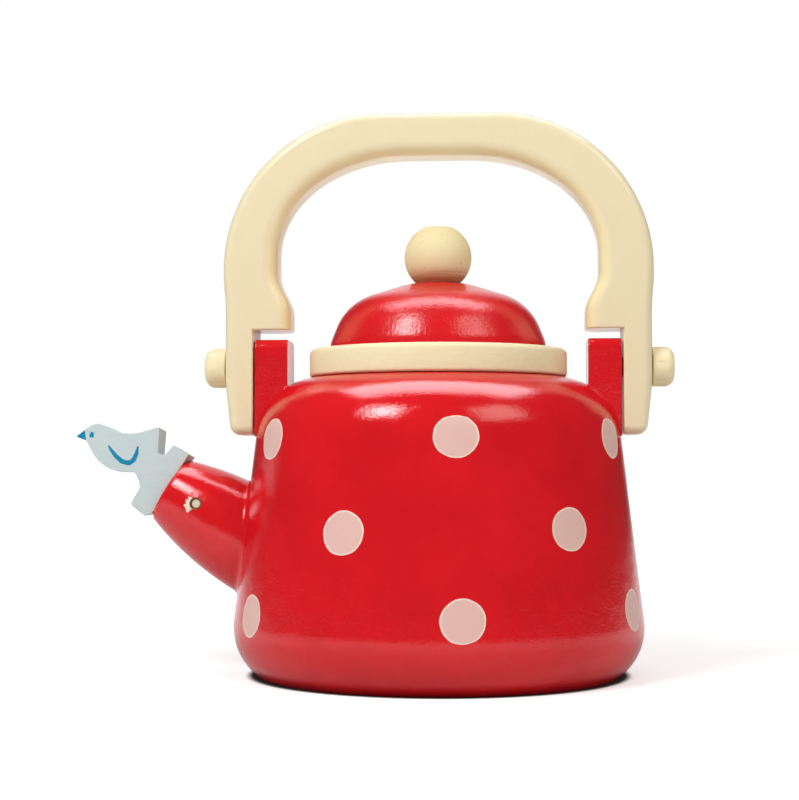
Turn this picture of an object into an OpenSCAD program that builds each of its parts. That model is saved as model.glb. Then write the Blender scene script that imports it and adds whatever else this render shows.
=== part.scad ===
// Toy stove-top kettle in painted wood: turned body, lift-out lid, swinging handle and a bird whistle.
// The origin is the centre of the foot, +Z is up, and the spout points along -X.

/* [Body] */
// Radius of the foot that stands on the table
foot_r = 55.6; // [52:0.1:58]
// Radius at which the straight side would reach the table
side_low_r = 64.95; // [62:0.05:68]
// Radius at which the straight side would reach the body's top
side_top_r = 54.1; // [53:0.1:56]
// Height of the flat top that the lid rests on
body_h = 91.4; // [85:0.1:100]
// Rounding of the belly above the foot
belly_round = 18; // [10:0.5:19]
// Rounding of the shoulder below the lid
shoulder_round = 17; // [12:0.5:17.5]
// Radius of the mouth and of the hollow below it
mouth_r = 34; // [28:0.5:36]
// Thickness of the hollow's floor
floor_t = 12; // [8:0.5:24]
// Softening of the foot's edge and the mouth's edge
body_edge = 0.8; // [0.3:0.1:1.5]
// Rounding where the hollow's wall meets its floor
hollow_round = 4; // [1:0.5:8]

/* [Lid] */
// Radius of the flange that rests on the body
flange_r = 39.8; // [38:0.1:42]
// Thickness of the flange
flange_h = 8.5; // [6:0.1:11]
// Rounding of the flange's upper edge
flange_round = 1.7; // [0.5:0.1:2.5]
// Rounding of the flange's lower edge
flange_under = 0.7; // [0.2:0.1:1.5]
// Radius of the dome where it stands on the flange
dome_foot_r = 33.4; // [33:0.1:36]
// Height of the upright lip at the dome's foot
dome_lip_h = 2; // [1:0.1:4]
// Radius at which the dome's flank would meet its crown
dome_turn_r = 28.4; // [27:0.1:29.5]
// Height above the flange at which the flank would meet the crown
dome_turn_h = 14.4; // [13.5:0.1:15.5]
// Radius at which the crown turns level
dome_crown_r = 9.3; // [9:0.1:11]
// Height of the dome above the flange
dome_h = 20.5; // [19.5:0.1:23]
// Rounding between the dome's flank and crown
dome_round = 17; // [10:0.5:18]
// Height of the plug below the flange
plug_h = 8; // [6:0.5:12]
// Gap all round between the plug and the mouth
plug_gap = 0.6; // [0.3:0.1:1.5]
// Radius of the ball knob
knob_r = 10.4; // [9.6:0.1:11]
// Height of the ball's centre above the flat that it stands on
knob_seat_h = 8.2; // [7.5:0.05:8.3]
// Height of the small flat on top above the ball's centre
knob_top_h = 9.4; // [8.8:0.05:9.5]
// Radius of the dowel that threads the knob, dome, flange and plug
lid_dowel_r = 3; // [2:0.1:3.2]
// Depth of the lid's dowel in the plug
lid_dowel_in = 6; // [3:0.5:6.5]

/* [Ears] */
// Depth of an ear's inner face inside the radius of the body's top
ear_let = 8.1; // [7.5:0.1:9]
// Thickness of an ear
ear_t = 10.2; // [9:0.1:10.2]
// Depth of an ear from front to back
ear_depth = 18; // [14:0.1:18]
// Depth below the body's top of the ledge cut in the shoulder for an ear
ear_sink = 18.4; // [15:0.1:21]
// Height of an ear's top above the handle's pivot
ear_rise = 8.5; // [7:0.1:8.6]
// Rounding of an ear's upper corners
ear_round = 3.2; // [2.8:0.1:5]
// Radius of the two dowels that hold an ear
ear_dowel_r = 2.5; // [1.5:0.1:3]
// Distance between an ear's two dowels
ear_dowel_pitch = 9; // [7:0.1:10]
// Height of an ear's dowels above its ledge
ear_dowel_up = 7; // [4:0.1:8]
// Length of a dowel on each side of the joint
ear_dowel_in = 7; // [4:0.1:8]

/* [Pegs] */
// Height of the handle's pivot above the body's top
pivot_up = 3.1; // [1:0.1:4.5]
// Radius of a peg's shank
peg_r = 3; // [2:0.1:3.5]
// Depth of a peg's shank in its ear
peg_in = 8.5; // [5:0.1:8.5]
// Radius of a peg's head
peg_head_r = 6.1; // [5:0.1:7]
// Length of a peg's head
peg_head_t = 6.8; // [4:0.1:8]
// Rounding of a peg's head
peg_round = 3; // [1:0.1:3.5]

/* [Handle] */
// Thickness of the board that the handle is sawn from
handle_depth = 18; // [15:0.1:18]
// Height of the handle's top above its pivot
handle_rise = 78.2; // [77.2:0.1:88]
// Thickness of the grip
grip_t = 12.9; // [10:0.1:14]
// Swell of the bend beyond the outside of the legs
bend_swell = 0.7; // [0:0.1:2]
// Thickness of the handle where the bend comes down
bend_t = 17.4; // [14:0.1:18]
// Radius of the outer bend
bend_out_r = 48; // [40:0.5:48.5]
// Height of the inner bend
bend_in_h = 32; // [28:0.5:33]
// Width of the inner bend, from the leg towards the middle of the grip
bend_in_w = 42; // [34:0.5:43]
// Thickness of a leg beside its ear
leg_t = 8.8; // [7.5:0.1:9.5]
// Length by which a toe reaches in past its ear
toe_over = 0.6; // [0:0.1:2]
// Height above the pivot at which the bend begins to run into the legs
bend_low = 29; // [25:0.1:29.5]
// Height above the pivot at which the legs and toes have their full width
toe_high = 16.5; // [14.5:0.1:21]
// Height of the toes above the pivot
toe_rise = 11.4; // [11.2:0.1:14]
// Length of the legs below the pivot
leg_drop = 21; // [15:0.1:21]
// Inward taper of a leg at its foot
leg_taper = 0.9; // [0:0.1:1.5]
// Height above the foot at which the taper begins
leg_taper_h = 12; // [6:0.5:16]
// Rounding of the board's edges
handle_edge = 3; // [1.5:0.1:3.4]
// Rounding of the outer corner of a leg's foot
leg_corner = 3.6; // [3.5:0.1:5]

/* [Spout] */
// Reach of the spout's mouth beyond the side's lower radius
spout_reach = 18.85; // [15:0.05:23]
// Height of the middle of the spout's mouth
spout_z = 56.9; // [54:0.1:60]
// Slope of the spout below level
spout_drop = 32; // [28:0.5:36]
// Radius of the spout at its mouth
spout_mouth_r = 10.5; // [9.5:0.1:12]
// Radius of the spout at its widest
spout_root_r = 16; // [14:0.1:17]
// Length from the mouth to the widest place
spout_swell_l = 31.8; // [28:0.1:34]
// Rounding of the spout's rim
spout_rim = 1.2; // [0.5:0.1:2]
// Radius of the dowel that holds the spout to the body
spout_dowel_r = 6; // [4:0.1:7]
// Distance from the mouth to the near end of the spout's dowel
spout_dowel_near = 19; // [17:0.5:21]
// Length of the spout's dowel
spout_dowel_l = 24; // [18:0.5:26]

/* [Whistle] */
// Thickness of the plank that the bird is sawn from
bird_t = 11; // [8:0.1:13]
// Size of a square of the grid that the bird's outline is drawn on
bird_grid = 1; // [0.9:0.01:1.1]
// Half the length of the bird's flat seat
bird_seat = 10.8; // [10:0.1:11.5]
// Rise of the bird's middle above the spout's axis
bird_rise = 1.8; // [0:0.1:2.5]
// Radius of the dowel between bird and spout
bird_dowel_r = 3; // [2:0.1:3.5]
// Depth of that dowel in the bird
bird_dowel_up = 9; // [6:0.5:10]
// Depth of that dowel in the spout
bird_dowel_down = 15; // [13.5:0.5:16]
// Radius of the pin that locks the dowel across the spout
lock_pin_r = 1.25; // [0.8:0.05:1.5]
// Distance of the pin from the spout's mouth
lock_pin_in = 11; // [9:0.1:12]
// Radius of the sunk hole above each end of the pin
lock_sink_r = 1.8; // [1.6:0.1:2.4]
// Depth of the pin's ends below the paint
lock_sink_t = 1.2; // [0.5:0.1:2]

/* [Fits] */
// Glue gap round dowels, pins and coped joints
glue_gap = 0.05; // [0.02:0.01:0.1]
// Running gap round a peg in the handle
run_gap = 0.08; // [0.02:0.01:0.1]
// Gap between an ear and the leg beside it
leg_gap = 0.5; // [0.4:0.05:1]
// Gap between a leg and the head of its peg
head_gap = 0.3; // [0.2:0.05:0.6]

/* [Hidden] */
$fn = 96;
// Steps in a rounded corner, a softened edge, the spout's flank, and the handle's side and bend
ARC_STEPS = 14;
EDGE_STEPS = 5;
SPOUT_STEPS = 24;
SIDE_STEPS = 8;
BEND_STEPS = 14;
// Spare length by which a cut runs past the piece that it cuts
past = 20;

RED = [0.80, 0.10, 0.13];
CREAM = [0.93, 0.87, 0.72];
WOOD = [0.93, 0.84, 0.63];
BLUE = [0.76, 0.83, 0.84];
STEEL = [0.72, 0.70, 0.66];

// Places that follow from the sizes above
side_taper = (side_low_r - side_top_r) / body_h;
belly_z = (side_low_r - foot_r) / (1 + side_taper);
flange_top_z = body_h + flange_h;
dome_top_z = flange_top_z + dome_h;
knob_z = dome_top_z + knob_seat_h;
knob_flat_r = sqrt(knob_r ^ 2 - knob_seat_h ^ 2);
ear_foot_z = body_h - ear_sink;
ear_in = side_top_r - ear_let;
ear_out = ear_in + ear_t;
pivot_z = body_h + pivot_up;
leg_in_r = ear_out + leg_gap;
leg_out_r = leg_in_r + leg_t;
toe_in_r = ear_in - toe_over;
handle_out_r = leg_out_r + bend_swell;
handle_in_r = handle_out_r - bend_t;
peg_seat_x = leg_out_r + head_gap;
toe_z = pivot_z + toe_rise;
toe_high_z = pivot_z + toe_high;
bend_low_z = pivot_z + bend_low;
handle_top_z = pivot_z + handle_rise;
grip_under_z = handle_top_z - grip_t;
leg_foot_z = pivot_z - leg_drop;
spout_x = side_low_r + spout_reach;
spout_up = [sin(spout_drop), cos(spout_drop)];
spout_flare = spout_root_r - spout_mouth_r;
spout_bulge = (spout_swell_l ^ 2 + spout_flare ^ 2) / (2 * spout_flare);
spout_l = spout_swell_l + past / 2;
pin_half = sqrt(spout_radius(lock_pin_in) ^ 2 - bird_rise ^ 2) - lock_sink_t;

// Outlines whose corners are rounded: each corner is [x, y] or [x, y, radius]
function flat(p) = [p.x, p.y];
function unit(v) = v / norm(v);
function short_turn(from, to) = (to - from + 540) % 360 - 180;
function corner_arc(before, corner, after) =
    let (a = unit(flat(before) - flat(corner)), b = unit(flat(after) - flat(corner)))
    let (half = acos(a * b) / 2, r = corner[2], centre = flat(corner) + unit(a + b) * r / sin(half))
    let (start = flat(corner) + a * r / tan(half) - centre)
    let (end = flat(corner) + b * r / tan(half) - centre)
    let (from = atan2(start.y, start.x), turn = short_turn(from, atan2(end.y, end.x)))
    [for (k = [0 : ARC_STEPS]) let (a = from + turn * k / ARC_STEPS) centre + r * [cos(a), sin(a)]];
function rounded(corners) =
    let (n = len(corners))
    [for (i = [0 : n - 1]) each len(corners[i]) < 3 ? [flat(corners[i])]
        : corner_arc(corners[(i + n - 1) % n], corners[i], corners[(i + 1) % n])];

// Body
function body_outside(grow) = [
    [foot_r + grow, -grow, body_edge],
    [foot_r + belly_z + grow, belly_z, belly_round],
    [side_top_r + grow, body_h + grow, shoulder_round]];

module body_block(grow) {
    rotate_extrude() polygon(rounded(concat([[0, -grow]], body_outside(grow), [[0, body_h + grow]])));
}

module body() {
    hollow = [[mouth_r, body_h, body_edge], [mouth_r, floor_t, hollow_round], [0, floor_t]];
    color(RED) difference() {
        rotate_extrude() polygon(rounded(concat([[0, 0]], body_outside(0), hollow)));
        both_sides() ear_ledge();
        both_sides() ear_dowel_pair(ear_dowel_r + glue_gap, ear_dowel_in + glue_gap);
        spout_dowel_rod(glue_gap);
    }
}

// Ears
module both_sides() {
    children();
    mirror([1, 0, 0]) children();
}

module along_x() rotate([90, 0, 90]) children();

module ear_ledge() {
    translate([ear_in, -ear_depth / 2, ear_foot_z]) cube([side_low_r, ear_depth, body_h]);
}

module ear_dowel_pair(r, reach) {
    for (y = [-0.5, 0.5] * ear_dowel_pitch)
        translate([ear_in - reach, y, ear_foot_z + ear_dowel_up]) rotate([0, 90, 0])
            cylinder(h = 2 * reach, r = r);
}

module ear() {
    half = ear_depth / 2;
    top = pivot_z + ear_rise;
    profile = [[-half, ear_foot_z], [half, ear_foot_z], [half, top, ear_round], [-half, top, ear_round]];
    color(RED) difference() {
        translate([ear_in, 0, 0]) along_x() linear_extrude(ear_t) polygon(rounded(profile));
        ear_dowel_pair(ear_dowel_r + glue_gap, ear_dowel_in + glue_gap);
        translate([ear_out - peg_in - glue_gap, 0, pivot_z]) rotate([0, 90, 0])
            cylinder(h = peg_in + past, r = peg_r + glue_gap);
    }
}

module right_ear() ear();
module left_ear() mirror([1, 0, 0]) ear();
module right_ear_dowels() color(WOOD) ear_dowel_pair(ear_dowel_r, ear_dowel_in);
module left_ear_dowels() mirror([1, 0, 0]) right_ear_dowels();

// Pegs that the handle swings on
module peg() {
    shank_l = peg_seat_x - ear_out + peg_in;
    profile = [[0, 0], [peg_r, 0], [peg_r, shank_l], [peg_head_r, shank_l],
        [peg_head_r, shank_l + peg_head_t, peg_round], [0, shank_l + peg_head_t]];
    color(WOOD) translate([ear_out - peg_in, 0, pivot_z]) rotate([0, 90, 0])
        rotate_extrude() polygon(rounded(profile));
}

module right_peg() peg();
module left_peg() mirror([1, 0, 0]) peg();

// Handle: each station is a point on the outside of the board and the point facing it on the inside
function blend(t) = (1 - cos(180 * min(max(t, 0), 1))) / 2;
function side_station(z) =
    let (t = blend((z - toe_high_z) / (bend_low_z - toe_high_z)))
    [[leg_out_r + (handle_out_r - leg_out_r) * t, z], [toe_in_r + (handle_in_r - toe_in_r) * t, z]];
function bend_station(a) = [
    [handle_out_r, handle_top_z] + bend_out_r * [cos(a) - 1, sin(a) - 1],
    [handle_in_r + bend_in_w * (cos(a) - 1), grip_under_z + bend_in_h * (sin(a) - 1)]];
function right_stations() = concat(
    [for (k = [0 : SIDE_STEPS]) side_station(toe_z + (bend_low_z - toe_z) * k / SIDE_STEPS)],
    [for (k = [0 : BEND_STEPS]) bend_station(90 * k / BEND_STEPS)]);
function mirrored(stations) =
    [for (k = [len(stations) - 1 : -1 : 0]) [for (p = stations[k]) [-p.x, p.y]]];

// Cross-section of the board at a station: a rectangle with rounded corners
function board_section(station) =
    let (wide = norm(station[0] - station[1]), out = unit(station[0] - station[1]), e = handle_edge)
    [for (corner = [0 : 3], k = [0 : EDGE_STEPS])
        let (a = 90 * (corner + k / EDGE_STEPS))
        let (across = (corner == 0 || corner == 3 ? wide - e : e) + e * cos(a))
        let (y = (corner < 2 ? 1 : -1) * (handle_depth / 2 - e) + e * sin(a))
        let (p = station[1] + out * across)
        [p.x, y, p.y]];

module handle_arch() {
    stations = concat(right_stations(), mirrored(right_stations()));
    n = 4 * (EDGE_STEPS + 1);
    last = len(stations) - 1;
    skin = [for (j = [0 : last - 1], i = [0 : n - 1])
        let (here = j * n, there = here + n, next = (i + 1) % n)
        each [[here + i, there + i, there + next], [here + i, there + next, here + next]]];
    ends = [[for (i = [0 : n - 1]) i], [for (i = [n - 1 : -1 : 0]) last * n + i]];
    polyhedron([for (station = stations) each board_section(station)], concat(ends, skin));
}

module handle_leg() {
    half = handle_depth / 2;
    plan = [for (p = board_section(side_station(toe_z))) [max(p.x, leg_in_r), p.y]];
    front = [[leg_in_r, leg_foot_z], [leg_out_r - leg_taper, leg_foot_z, leg_corner],
        [leg_out_r, leg_foot_z + leg_taper_h], [leg_out_r, toe_z], [leg_in_r, toe_z]];
    side = [[-half, toe_z], [-half, leg_foot_z, handle_edge], [half, leg_foot_z, handle_edge],
        [half, toe_z]];
    intersection() {
        translate([0, 0, leg_foot_z]) linear_extrude(toe_z - leg_foot_z) polygon(plan);
        translate([0, half, 0]) rotate([90, 0, 0]) linear_extrude(handle_depth) polygon(rounded(front));
        along_x() linear_extrude(leg_out_r) polygon(rounded(side));
    }
}

module handle() {
    color(CREAM) difference() {
        union() {
            handle_arch();
            both_sides() handle_leg();
        }
        translate([-leg_out_r - past, 0, pivot_z]) rotate([0, 90, 0])
            cylinder(h = 2 * (leg_out_r + past), r = peg_r + run_gap);
    }
}

// Lid
module lid_disc(profile) {
    bore = lid_dowel_r + glue_gap;
    rotate_extrude() difference() {
        polygon(rounded(profile));
        translate([0, body_h - lid_dowel_in - glue_gap]) square([bore, dome_top_z]);
    }
}

module lid_flange() {
    profile = [[0, body_h], [flange_r, body_h, flange_under], [flange_r, flange_top_z, flange_round],
        [0, flange_top_z]];
    color(WOOD) lid_disc(profile);
}

module lid_dome() {
    profile = [[0, flange_top_z], [dome_foot_r, flange_top_z],
        [dome_foot_r, flange_top_z + dome_lip_h, dome_lip_h / 2],
        [dome_turn_r, flange_top_z + dome_turn_h, dome_round],
        [dome_crown_r, dome_top_z, dome_round], [0, dome_top_z]];
    color(RED) lid_disc(profile);
}

module lid_plug() {
    r = mouth_r - plug_gap;
    low = body_h - plug_h;
    color(WOOD) lid_disc([[0, low], [r, low, flange_round], [r, body_h], [0, body_h]]);
}

module lid_knob() {
    color(WOOD) rotate_extrude() intersection() {
        translate([0, knob_z]) circle(knob_r);
        translate([lid_dowel_r + glue_gap, dome_top_z]) square([knob_r, knob_seat_h + knob_top_h]);
    }
}

module lid_dowel() {
    low = body_h - lid_dowel_in;
    color(WOOD) translate([0, 0, low]) cylinder(h = knob_z + knob_top_h - low, r = lid_dowel_r);
}

// Spout: measured from the middle of its mouth along its sloping axis
module along_spout() translate([-spout_x, 0, spout_z]) rotate([0, 90 + spout_drop, 0]) children();

function spout_radius(l) =
    spout_root_r - spout_bulge + sqrt(spout_bulge ^ 2 - max(spout_swell_l - l, 0) ^ 2);

module spout_turning() {
    rim = [for (k = [0 : EDGE_STEPS]) let (a = 90 * k / EDGE_STEPS, l = spout_rim * (1 - cos(a)))
        [spout_radius(l) - spout_rim * (1 - sin(a)), l]];
    flank = [for (k = [1 : SPOUT_STEPS]) let (l = spout_rim + (spout_swell_l - spout_rim) * k / SPOUT_STEPS)
        [spout_radius(l), l]];
    rotate_extrude() polygon(concat([[0, 0]], rim, flank, [[spout_root_r, spout_l], [0, spout_l]]));
}

module spout() {
    color(RED) difference() {
        along_spout() spout_turning();
        body_block(glue_gap);
        spout_dowel_rod(glue_gap);
        bird_dowel_rod(glue_gap);
        lock_pin_rod(lock_pin_r + glue_gap, spout_root_r);
        both_ends() lock_sink();
    }
}

module spout_dowel_rod(grow) {
    along_spout() translate([0, 0, spout_dowel_near - grow])
        cylinder(h = spout_dowel_l + 2 * grow, r = spout_dowel_r + grow);
}

module spout_dowel() color(WOOD) spout_dowel_rod(0);

// Bird whistle on the spout's mouth, with the dowel and the cross pin that hold it
function bird_outline() = concat(
    [for (across = [-bird_seat, bird_seat]) spout_up * (bird_rise + across)],
    bird_grid * [
        [1.8, 13.6, 0.4],
        [-0.9, 10.4, 0.3],
        [-3, 11.1, 0.4],
        [-2.4, 19.4, 0.6],
        [-12.5, 16.5, 12],
        [-22.3, 21.4, 4.5],
        [-28.8, 16.3, 0.3],
        [-25.6, 15.1, 0.3],
        [-20.2, 5.3, 12],
        [-10.2, 5.3, 1.2],
        [-8.3, 1.2, 3],
        [-11.6, -4.7, 0.5],
        [-7.2, -8.4, 0.8]]);

module bird_whistle() {
    color(BLUE) difference() {
        translate([-spout_x, bird_t / 2, spout_z]) rotate([90, 0, 0]) linear_extrude(bird_t)
            polygon(rounded(bird_outline()));
        bird_dowel_rod(glue_gap);
    }
}

module bird_dowel_rod(grow) {
    along_spout() translate([-bird_rise, 0, -bird_dowel_up - grow])
        cylinder(h = bird_dowel_up + bird_dowel_down + 2 * grow, r = bird_dowel_r + grow);
}

module lock_pin_rod(r, half) {
    along_spout() translate([-bird_rise, half, lock_pin_in]) rotate([90, 0, 0])
        cylinder(h = 2 * half, r = r);
}

module both_ends() {
    children();
    mirror([0, 1, 0]) children();
}

module lock_sink() {
    along_spout() translate([-bird_rise, -pin_half, lock_pin_in]) rotate([90, 0, 0])
        cylinder(h = past, r = lock_sink_r);
}

module bird_dowel() {
    color(WOOD) difference() {
        bird_dowel_rod(0);
        lock_pin_rod(lock_pin_r + glue_gap, spout_root_r);
    }
}

module lock_pin() color(STEEL) lock_pin_rod(lock_pin_r, pin_half);

body();
spout();
spout_dowel();
left_ear();
right_ear();
left_ear_dowels();
right_ear_dowels();
left_peg();
right_peg();
handle();
lid_flange();
lid_dome();
lid_plug();
lid_knob();
lid_dowel();
bird_whistle();
bird_dowel();
lock_pin();
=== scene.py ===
"""Painted wooden toy kettle with a dotted body, a lift-out lid, a swinging handle and a bird whistle."""

import math

import bpy
from bpy.props import FloatProperty, FloatVectorProperty, PointerProperty
from mathutils import Matrix, Vector


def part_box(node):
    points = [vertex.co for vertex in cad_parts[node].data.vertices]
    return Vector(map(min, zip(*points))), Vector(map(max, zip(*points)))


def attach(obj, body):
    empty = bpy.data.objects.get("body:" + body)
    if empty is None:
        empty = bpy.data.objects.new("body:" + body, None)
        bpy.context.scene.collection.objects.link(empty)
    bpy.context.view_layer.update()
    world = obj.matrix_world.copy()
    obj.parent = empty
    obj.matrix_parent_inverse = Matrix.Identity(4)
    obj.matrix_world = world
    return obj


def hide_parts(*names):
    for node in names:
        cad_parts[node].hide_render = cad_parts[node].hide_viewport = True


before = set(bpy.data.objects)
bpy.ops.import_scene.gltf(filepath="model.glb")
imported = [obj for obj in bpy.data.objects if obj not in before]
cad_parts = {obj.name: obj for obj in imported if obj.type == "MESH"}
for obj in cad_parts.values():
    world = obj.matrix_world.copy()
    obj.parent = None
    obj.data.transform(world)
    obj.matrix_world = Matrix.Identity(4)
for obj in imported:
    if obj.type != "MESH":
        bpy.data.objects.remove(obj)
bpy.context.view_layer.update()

bl_info = {
    "name": "Toy Kettle",
    "version": (1, 0, 0),
    "blender": (4, 5, 0),
    "location": "3D View > Sidebar > Kettle",
    "description": "Models, paints and lights a wooden toy kettle on its solid parts",
    "category": "Object",
}

MM = 0.001
QUARTER = math.pi / 2

MERGE = 0.001 * MM  # points this close are one
NEAR = 0.1 * MM  # a face whose middle is this close to a place lies there
FACING = 0.99  # a face whose normal has this much of an axis faces along it
PAST = 10 * MM  # a cutter reaches this far past its piece
SMOOTH_ANGLE = math.radians(32)  # edges that turn more than this stay sharp

# Facets round a piece
BODY_FACETS = 160
SPOUT_FACETS = 128
FILLET_FACETS = 120
KNOB_FACETS = 96
SMALL_FACETS = 64

# Steps along a rounded corner or a curve
CORNER_STEPS = 8
BODY_CORNER_STEPS = 14
DOME_CORNER_STEPS = 12
MARK_CORNER_STEPS = 4
RIM_STEPS = 8
SWELL_STEPS = 24
FILLET_STEPS = 8
FILLET_HALVINGS = 40
BEAD_STEPS = 10
BEAD_ROUND_STEPS = 3
EDGE_STEPS = 6
NOTCH_STEPS = 3
LEG_STEPS = 8
SIDE_STEPS = 14
BEND_STEPS = 28
BALL_STEPS = 40

# Places of the solid parts
BODY_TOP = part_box("body")[1].z
EAR_LOW, EAR_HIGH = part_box("right_ear")
PEG_LOW, PEG_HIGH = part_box("right_peg")
HANDLE_LOW, HANDLE_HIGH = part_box("handle")
FLANGE_LOW, FLANGE_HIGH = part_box("lid_flange")
DOME_LOW, DOME_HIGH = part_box("lid_dome")
PLUG_LOW, PLUG_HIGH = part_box("lid_plug")
KNOB_LOW, KNOB_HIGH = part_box("lid_knob")
BIRD_LOW, BIRD_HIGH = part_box("bird_whistle")
PIN_LOW, PIN_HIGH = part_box("lock_pin")
PIVOT_Z = (PEG_LOW.z + PEG_HIGH.z) / 2

# Dots in three rows: degrees from the front towards the right, and height in mm
DOTS = (
    (-58, 72.3), (7.4, 72.6), (67.2, 72.5), (125.5, 72), (184, 72.4), (243, 72.1),
    (-24.3, 45.5), (41.1, 46.3), (99.4, 45.7), (158.4, 46.1), (217.4, 45.8),
    (-59.2, 20.2), (8.5, 21.6), (69, 21.7), (127, 21.5), (185, 21.9), (243, 21.6),
)
# Rings inside a dot's edge as shares of its rim, and the distance from which it is drawn onto the body
DOT_RINGS = (0.3, 0.7, 1.4, 1.4)
DOT_STAND = 1 * MM
DOT_DEPTH = 2  # thickness of a dot's skin in heights of paint, half of it in the body
# Waves of a dot's edge: share of its radius, count and phases. The phase moves on from dot to dot.
DOT_WAVES = ((0.014, 2, 1), (0.008, 5, 2), (0.004, 11, 3))
DOT_PHASE = 7.3

# The bird's sawn outline above its seat, in mm from the middle of the spout's mouth: across, up, rounding
BIRD_CORNERS = (
    (1.8, 13.6, 0.4), (-0.9, 10.4, 0.3), (-3, 11.1, 0.4), (-2.4, 19.4, 0.6), (-12.5, 16.5, 12),
    (-22.6, 20.9, 4.5), (-28.8, 16.3, 0.3), (-25.6, 15.1, 0.3), (-20.2, 5.3, 12), (-10.2, 5.3, 1.2),
    (-8.3, 1.2, 3), (-11.6, -4.7, 0.5), (-7.2, -8.4, 0.8),
)
BIRD_SEAT = (-9, 12.6)
# Where the bird's back begins to slant, along its seat, and the length over which the slant grows
SLANT_FROM = -6 * MM
SLANT_OVER = 18 * MM

# Brush strokes on the bird in mm from the same place: across, up, half width, and roundings of the stroke
WING_STROKE = (
    (-18.5, 13.5, 0.25), (-17.6, 12.1, 0.52), (-16.2, 10.3, 0.66), (-14.2, 8.55, 0.74), (-12, 8, 0.78),
    (-10.5, 9, 0.76), (-9.6, 11.2, 0.62), (-9.2, 13.3, 0.25),
)
STROKE_ROUND = 1.6
STROKE_END_ROUND = 0.1
# The eye's corners and their roundings, and the line at which the beak's paint ends
EYE_OUTLINE = (
    (-24.5, 17, 0.2), (-23.9, 17.8, 0.3), (-23, 17.5, 0.3), (-23.2, 16, 0.2), (-24.4, 16, 0.3),
)
BEAK_LINE = ((-25.9, 18.4), (-25.55, 15.1))
MARK_DEPTH = 4  # thickness of a mark in heights of paint, most of it in the wood

# Chip in the paint beside the pin's hole, in mm: its middle from the front end of the pin, and its reach
CHIP_PLACE = (-2.1, -0.8, -0.2)
CHIP_REACH = (1.4, 2, 2.2)
# The hole's bare faces take a brown that is painted shade
HOLE_BARE = 1 * MM  # depth of that hole above the pin's end that has no paint
FILLET_ROOT = 0.5 * MM  # reach of the fillet's root into the wood
FILLET_TUCK = 0.02 * MM  # depth by which the fillet's edges are tucked in

# Small roundings and flats
MOUTH_FLAT = 3 * MM  # flat of the body round its mouth
EAR_FOOT_ROUND = 0.4 * MM
EAR_BEAD_SHORT = 1.5  # radii by which an ear's bead stops short of its outer face
FOOT_EDGE_SHARE = 0.25  # share of the handle's rounding that is left at the foot of a leg
DOME_FOOT_ROUND = 0.3 * MM
PLUG_UNDER = 0.8 * MM
PLUG_OVER = 0.2 * MM
# Top of the knob round its dowel: width of the groove, room beside the dowel and depth
KNOB_GROOVE = 0.15 * MM
KNOB_ROOM = 0.05 * MM
KNOB_DEPTH = 1 * MM
# Painted shade: the knob darkens to brown towards its seat
KNOB_FOOT_SHADE = (0.5 * MM, 5.5 * MM)  # heights above its seat over which the knob's brown fades

# Lamps: direction from the kettle's middle, width and height in metres, and tint
KEY_LAMP = ((-0.4525, -0.5588, 0.695), (0.27, 0.26), (1, 1, 1))
FILL_LAMP = ((0.551, -0.516, 0.656), (0.42, 0.34), (1, 0.93, 0.84))
TOP_LAMP = ((0, 0.137, 0.991), (1.1, 0.46), (0.93, 0.96, 1))
LAMP_DISTANCE = 0.9
KETTLE_MIDDLE = Vector((0, 0, 80 * MM))
SENSOR_WIDTH = 36
CAMERA_NEAR = 10 * MM

# Floor and background: greys, fades in metres from the kettle's axis, and directions that lie behind it
FLOOR_SIZE = 8
FLOOR_GREY = (0.72, 0.72, 0.72)
# Painted contact shadow: the floor's dark grey under the belly
SHADOW_RING_GREY = (0.06, 0.06, 0.06)
FLOOR_FADE = (0.1, 0.5)
GLOSS_FADE = (0.08, 0.14)
BEHIND_ACROSS = (0.1, 0.4)
BEHIND_BACK = (0.2, 0.6)
WHITE = (1, 1, 1, 1)


# Settings


def length(name, description, millimetres):
    """A length that a user can set, in metres."""
    return FloatProperty(
        name=name, description=description, default=millimetres * MM, unit="LENGTH", precision=5)


def colour(name, description, value):
    """A colour that a user can set, as linear red, green and blue."""
    return FloatVectorProperty(
        name=name, description=description, default=value, subtype="COLOR", size=3, min=0, max=1)


def angle(name, description, degrees):
    """An angle that a user can set."""
    return FloatProperty(name=name, description=description, default=math.radians(degrees), subtype="ANGLE")


def power(name, description, watts):
    """Power of a lamp that a user can set."""
    return FloatProperty(name=name, description=description, default=watts, unit="POWER")


def pixels(name, description, value):
    """A length in the picture that a user can set."""
    return FloatProperty(name=name, description=description, default=value, subtype="PIXEL")


def fraction(name, description, value):
    """A share of one that a user can set."""
    return FloatProperty(name=name, description=description, default=value, subtype="FACTOR", min=0, max=1)


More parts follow.
